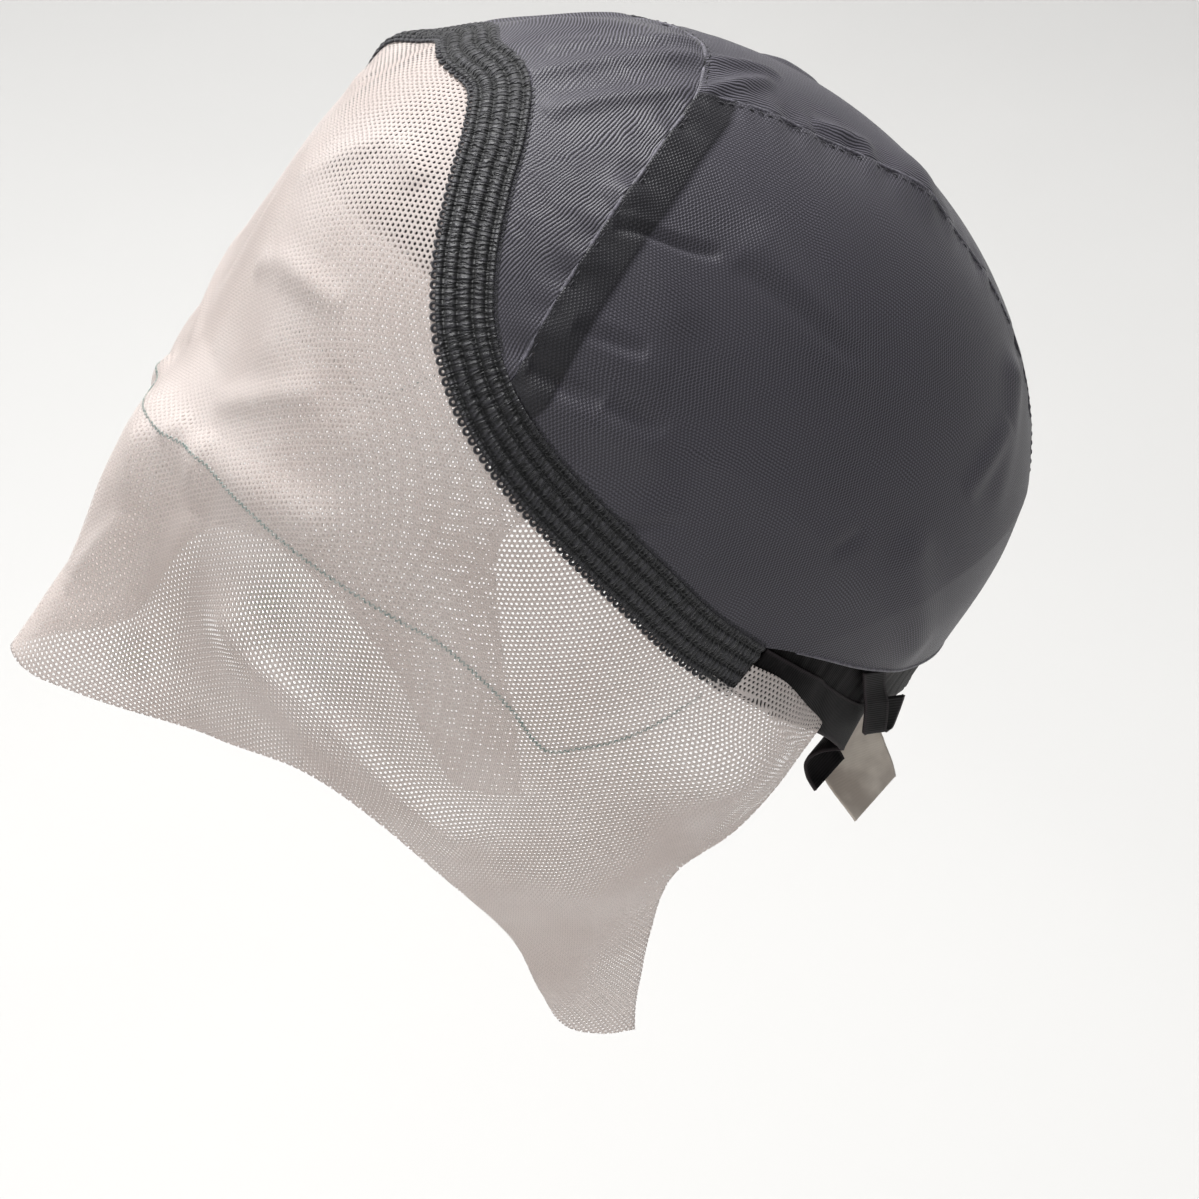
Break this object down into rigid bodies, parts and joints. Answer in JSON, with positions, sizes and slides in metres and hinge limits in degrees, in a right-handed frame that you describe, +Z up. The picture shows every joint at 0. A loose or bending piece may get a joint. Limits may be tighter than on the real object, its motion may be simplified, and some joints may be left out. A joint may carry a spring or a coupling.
{
  "type": "lace front wig cap",
  "caption": "Wig cap of stretch net with a wide lace front, stretch lace band, elastic nape binding, adjusting straps and a blank label, shaped as it is worn on a head.",
  "frame": {"origin": "head seat: the point where the inside of the crown rests on top of a head", "axes": "+X to the wearer's left, +Y to the back of the head, +Z up"},
  "size_m": [0.1688, 0.2379, 0.237],
  "materials": {
    "fine_lace": "fine see-through hexagonal net, pale beige",
    "stretch_net": "fine ribbed stretch net, black, slightly sheer",
    "stretch_lace": "ribbed stretch lace band with picot edge, black",
    "elastic": "smooth woven elastic, black, slight sheen",
    "satin_label": "satin, off-white, blank"
  },
  "bodies": {
    "root": {"stretch_lace_band": "stretch_lace", "lace_front": "fine_lace", "front_strip": "stretch_net", "side_panel_left": "stretch_net", "side_panel_right": "stretch_net", "centre_panel": "stretch_net", "nape_binding": "elastic", "strap_left": "elastic", "strap_right": "elastic", "nape_tab_left": "elastic", "nape_tab_right": "elastic", "nape_label": "satin_label"}
  },
  "joints": []
}
